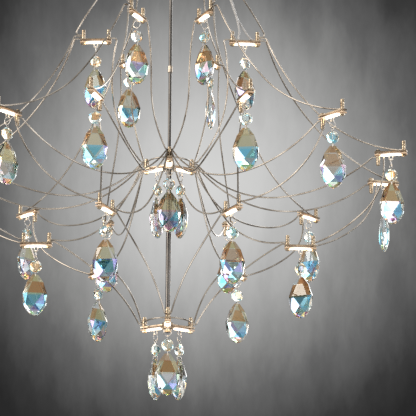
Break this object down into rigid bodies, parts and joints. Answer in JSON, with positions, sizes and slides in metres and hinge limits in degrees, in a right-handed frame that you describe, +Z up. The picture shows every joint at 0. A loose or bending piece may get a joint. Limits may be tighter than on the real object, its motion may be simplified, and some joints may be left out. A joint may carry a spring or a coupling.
{
  "type": "crystal chandelier",
  "caption": "Open cage of bent plated wires on a slim rod, with short LED light bars clamped where wires meet and a faceted crystal drop under each bar.",
  "frame": {"origin": "centre of the ceiling face of the bracket", "axes": "+Z up along the rod, -Y towards the viewer of the picture, which one arm of each hub points to"},
  "size_m": [0.562, 0.5486, 0.8443],
  "materials": {
    "bent_wire": "warm nickel plate, polished",
    "plated_strip": "warm nickel plate, satin",
    "plated_rod": "warm nickel plate, polished",
    "plated_canopy": "warm nickel plate, polished",
    "plated_terminal": "turned brass with a thin nickel plate",
    "plated_fastener": "plated steel",
    "plated_pin": "bright plated spring wire",
    "bracket_steel": "zinc plated, dull",
    "led_board": "white solder mask",
    "led_chip": "yellow-white phosphor",
    "lead_insulation": "smooth translucent grey",
    "coated_crystal": "cut and polished, iridescent coating"
  },
  "bodies": {
    "cage": {"ceiling_bracket": "bracket_steel", "canopy": "plated_canopy", "suspension_rod": "plated_rod", "rod_coupler": "plated_rod", "lower_tube": "plated_rod", "rod_nuts": "plated_fastener", "top_hub": "plated_strip", "centre_hub": "plated_strip", "bottom_hub": "plated_strip", "hub_rings": "bent_wire", "upper_bars": "plated_strip", "middle_bars": "plated_strip", "lower_bars": "plated_strip", "led_boards": "led_board", "led_chips": "led_chip", "crown_wires": "bent_wire", "bell_wires": "bent_wire", "wide_arch_wires": "bent_wire", "near_arch_wires": "bent_wire", "near_swag_wires": "bent_wire", "wide_swag_wires": "bent_wire", "stay_wires": "bent_wire", "lower_swag_wires": "bent_wire", "basket_wires": "bent_wire", "wire_terminals": "plated_terminal", "clamp_screws": "plated_fastener", "clamp_nuts": "plated_fastener", "bar_spacers": "plated_terminal", "power_leads": "lead_insulation", "crystal_clips": "plated_pin"},
    "crystal_upper_1": {"pendant_upper_1": "coated_crystal"},
    "crystal_upper_2": {"pendant_upper_2": "coated_crystal"},
    "crystal_upper_3": {"pendant_upper_3": "coated_crystal"},
    "crystal_upper_4": {"pendant_upper_4": "coated_crystal"},
    "crystal_upper_5": {"pendant_upper_5": "coated_crystal"},
    "crystal_upper_6": {"pendant_upper_6": "coated_crystal"},
    "crystal_near_1": {"pendant_near_1": "coated_crystal"},
    "crystal_near_2": {"pendant_near_2": "coated_crystal"},
    "crystal_near_3": {"pendant_near_3": "coated_crystal"},
    "crystal_near_4": {"pendant_near_4": "coated_crystal"},
    "crystal_near_5": {"pendant_near_5": "coated_crystal"},
    "crystal_near_6": {"pendant_near_6": "coated_crystal"},
    "crystal_wide_1": {"pendant_wide_1": "coated_crystal"},
    "crystal_wide_2": {"pendant_wide_2": "coated_crystal"},
    "crystal_wide_3": {"pendant_wide_3": "coated_crystal"},
    "crystal_wide_4": {"pendant_wide_4": "coated_crystal"},
    "crystal_wide_5": {"pendant_wide_5": "coated_crystal"},
    "crystal_wide_6": {"pendant_wide_6": "coated_crystal"},
    "crystal_lower_1": {"pendant_lower_1": "coated_crystal"},
    "crystal_lower_2": {"pendant_lower_2": "coated_crystal"},
    "crystal_lower_3": {"pendant_lower_3": "coated_crystal"},
    "crystal_lower_4": {"pendant_lower_4": "coated_crystal"},
    "crystal_lower_5": {"pendant_lower_5": "coated_crystal"},
    "crystal_lower_6": {"pendant_lower_6": "coated_crystal"},
    "crystal_centre_1": {"pendant_centre_1": "coated_crystal"},
    "crystal_centre_2": {"pendant_centre_2": "coated_crystal"},
    "crystal_centre_3": {"pendant_centre_3": "coated_crystal"},
    "crystal_bottom_1": {"pendant_bottom_1": "coated_crystal"},
    "crystal_bottom_2": {"pendant_bottom_2": "coated_crystal"},
    "crystal_bottom_3": {"pendant_bottom_3": "coated_crystal"}
  },
  "joints": [
    {"name": "swing_upper_1", "type": "hinge", "parent": "cage", "child": "crystal_upper_1", "pos_m": [-0.05062, 0.07562, -0.4066], "axis": [-0.5563, 0.831, 0], "range_deg": [-25, 25]},
    {"name": "swing_upper_2", "type": "hinge", "parent": "cage", "child": "crystal_upper_2", "pos_m": [-0.0908, 0.00603, -0.4066], "axis": [-0.9978, 0.0663, 0], "range_deg": [-25, 25]},
    {"name": "swing_upper_3", "type": "hinge", "parent": "cage", "child": "crystal_upper_3", "pos_m": [-0.04018, -0.08165, -0.4066], "axis": [-0.4415, -0.8973, 0], "range_deg": [-25, 25]},
    {"name": "swing_upper_4", "type": "hinge", "parent": "cage", "child": "crystal_upper_4", "pos_m": [0.04018, -0.08165, -0.4066], "axis": [0.4415, -0.8973, 0], "range_deg": [-25, 25]},
    {"name": "swing_upper_5", "type": "hinge", "parent": "cage", "child": "crystal_upper_5", "pos_m": [0.0908, 0.00603, -0.4066], "axis": [0.9978, 0.0663, 0], "range_deg": [-25, 25]},
    {"name": "swing_upper_6", "type": "hinge", "parent": "cage", "child": "crystal_upper_6", "pos_m": [0.05062, 0.07562, -0.4066], "axis": [0.5563, 0.831, 0], "range_deg": [-25, 25]},
    {"name": "swing_near_1", "type": "hinge", "parent": "cage", "child": "crystal_near_1", "pos_m": [-0.17899, 0.19879, -0.5686], "axis": [-0.6691, 0.7431, 0], "range_deg": [-25, 25]},
    {"name": "swing_near_2", "type": "hinge", "parent": "cage", "child": "crystal_near_2", "pos_m": [-0.26165, 0.05562, -0.5686], "axis": [-0.9781, 0.2079, 0], "range_deg": [-25, 25]},
    {"name": "swing_near_3", "type": "hinge", "parent": "cage", "child": "crystal_near_3", "pos_m": [-0.08266, -0.25441, -0.5686], "axis": [-0.309, -0.9511, 0], "range_deg": [-25, 25]},
    {"name": "swing_near_4", "type": "hinge", "parent": "cage", "child": "crystal_near_4", "pos_m": [0.08266, -0.25441, -0.5686], "axis": [0.309, -0.9511, 0], "range_deg": [-25, 25]},
    {"name": "swing_near_5", "type": "hinge", "parent": "cage", "child": "crystal_near_5", "pos_m": [0.26165, 0.05562, -0.5686], "axis": [0.9781, 0.2079, 0], "range_deg": [-25, 25]},
    {"name": "swing_near_6", "type": "hinge", "parent": "cage", "child": "crystal_near_6", "pos_m": [0.17899, 0.19879, -0.5686], "axis": [0.6691, 0.7431, 0], "range_deg": [-25, 25]},
    {"name": "swing_wide_1", "type": "hinge", "parent": "cage", "child": "crystal_wide_1", "pos_m": [-0.07821, 0.25581, -0.5686], "axis": [-0.2924, 0.9563, 0], "range_deg": [-25, 25]},
    {"name": "swing_wide_2", "type": "hinge", "parent": "cage", "child": "crystal_wide_2", "pos_m": [-0.26064, -0.06017, -0.5686], "axis": [-0.9744, -0.225, 0], "range_deg": [-25, 25]},
    {"name": "swing_wide_3", "type": "hinge", "parent": "cage", "child": "crystal_wide_3", "pos_m": [-0.18243, -0.19564, -0.5686], "axis": [-0.682, -0.7314, 0], "range_deg": [-25, 25]},
    {"name": "swing_wide_4", "type": "hinge", "parent": "cage", "child": "crystal_wide_4", "pos_m": [0.18243, -0.19564, -0.5686], "axis": [0.682, -0.7314, 0], "range_deg": [-25, 25]},
    {"name": "swing_wide_5", "type": "hinge", "parent": "cage", "child": "crystal_wide_5", "pos_m": [0.26064, -0.06017, -0.5686], "axis": [0.9744, -0.225, 0], "range_deg": [-25, 25]},
    {"name": "swing_wide_6", "type": "hinge", "parent": "cage", "child": "crystal_wide_6", "pos_m": [0.07821, 0.25581, -0.5686], "axis": [0.2924, 0.9563, 0], "range_deg": [-25, 25]},
    {"name": "swing_lower_1", "type": "hinge", "parent": "cage", "child": "crystal_lower_1", "pos_m": [-0.08578, 0.13209, -0.6651], "axis": [-0.5446, 0.8387, 0], "range_deg": [-25, 25]},
    {"name": "swing_lower_2", "type": "hinge", "parent": "cage", "child": "crystal_lower_2", "pos_m": [-0.15728, 0.00824, -0.6651], "axis": [-0.9986, 0.0523, 0], "range_deg": [-25, 25]},
    {"name": "swing_lower_3", "type": "hinge", "parent": "cage", "child": "crystal_lower_3", "pos_m": [-0.0715, -0.14033, -0.6651], "axis": [-0.454, -0.891, 0], "range_deg": [-25, 25]},
    {"name": "swing_lower_4", "type": "hinge", "parent": "cage", "child": "crystal_lower_4", "pos_m": [0.0715, -0.14033, -0.6651], "axis": [0.454, -0.891, 0], "range_deg": [-25, 25]},
    {"name": "swing_lower_5", "type": "hinge", "parent": "cage", "child": "crystal_lower_5", "pos_m": [0.15728, 0.00824, -0.6651], "axis": [0.9986, 0.0523, 0], "range_deg": [-25, 25]},
    {"name": "swing_lower_6", "type": "hinge", "parent": "cage", "child": "crystal_lower_6", "pos_m": [0.08578, 0.13209, -0.6651], "axis": [0.5446, 0.8387, 0], "range_deg": [-25, 25]},
    {"name": "swing_centre_1", "type": "hinge", "parent": "cage", "child": "crystal_centre_1", "pos_m": [-0.01403, 0.0081, -0.5686], "axis": [-0.866, 0.5, 0], "range_deg": [-8, 8]},
    {"name": "swing_centre_2", "type": "hinge", "parent": "cage", "child": "crystal_centre_2", "pos_m": [0, -0.0162, -0.5686], "axis": [0, -1, 0], "range_deg": [-8, 8]},
    {"name": "swing_centre_3", "type": "hinge", "parent": "cage", "child": "crystal_centre_3", "pos_m": [0.01403, 0.0081, -0.5686], "axis": [0.866, 0.5, 0], "range_deg": [-8, 8]},
    {"name": "swing_bottom_1", "type": "hinge", "parent": "cage", "child": "crystal_bottom_1", "pos_m": [-0.01403, 0.0081, -0.7656], "axis": [-0.866, 0.5, 0], "range_deg": [-8, 8]},
    {"name": "swing_bottom_2", "type": "hinge", "parent": "cage", "child": "crystal_bottom_2", "pos_m": [0, -0.0162, -0.7656], "axis": [0, -1, 0], "range_deg": [-8, 8]},
    {"name": "swing_bottom_3", "type": "hinge", "parent": "cage", "child": "crystal_bottom_3", "pos_m": [0.01403, 0.0081, -0.7656], "axis": [0.866, 0.5, 0], "range_deg": [-8, 8]}
  ]
}
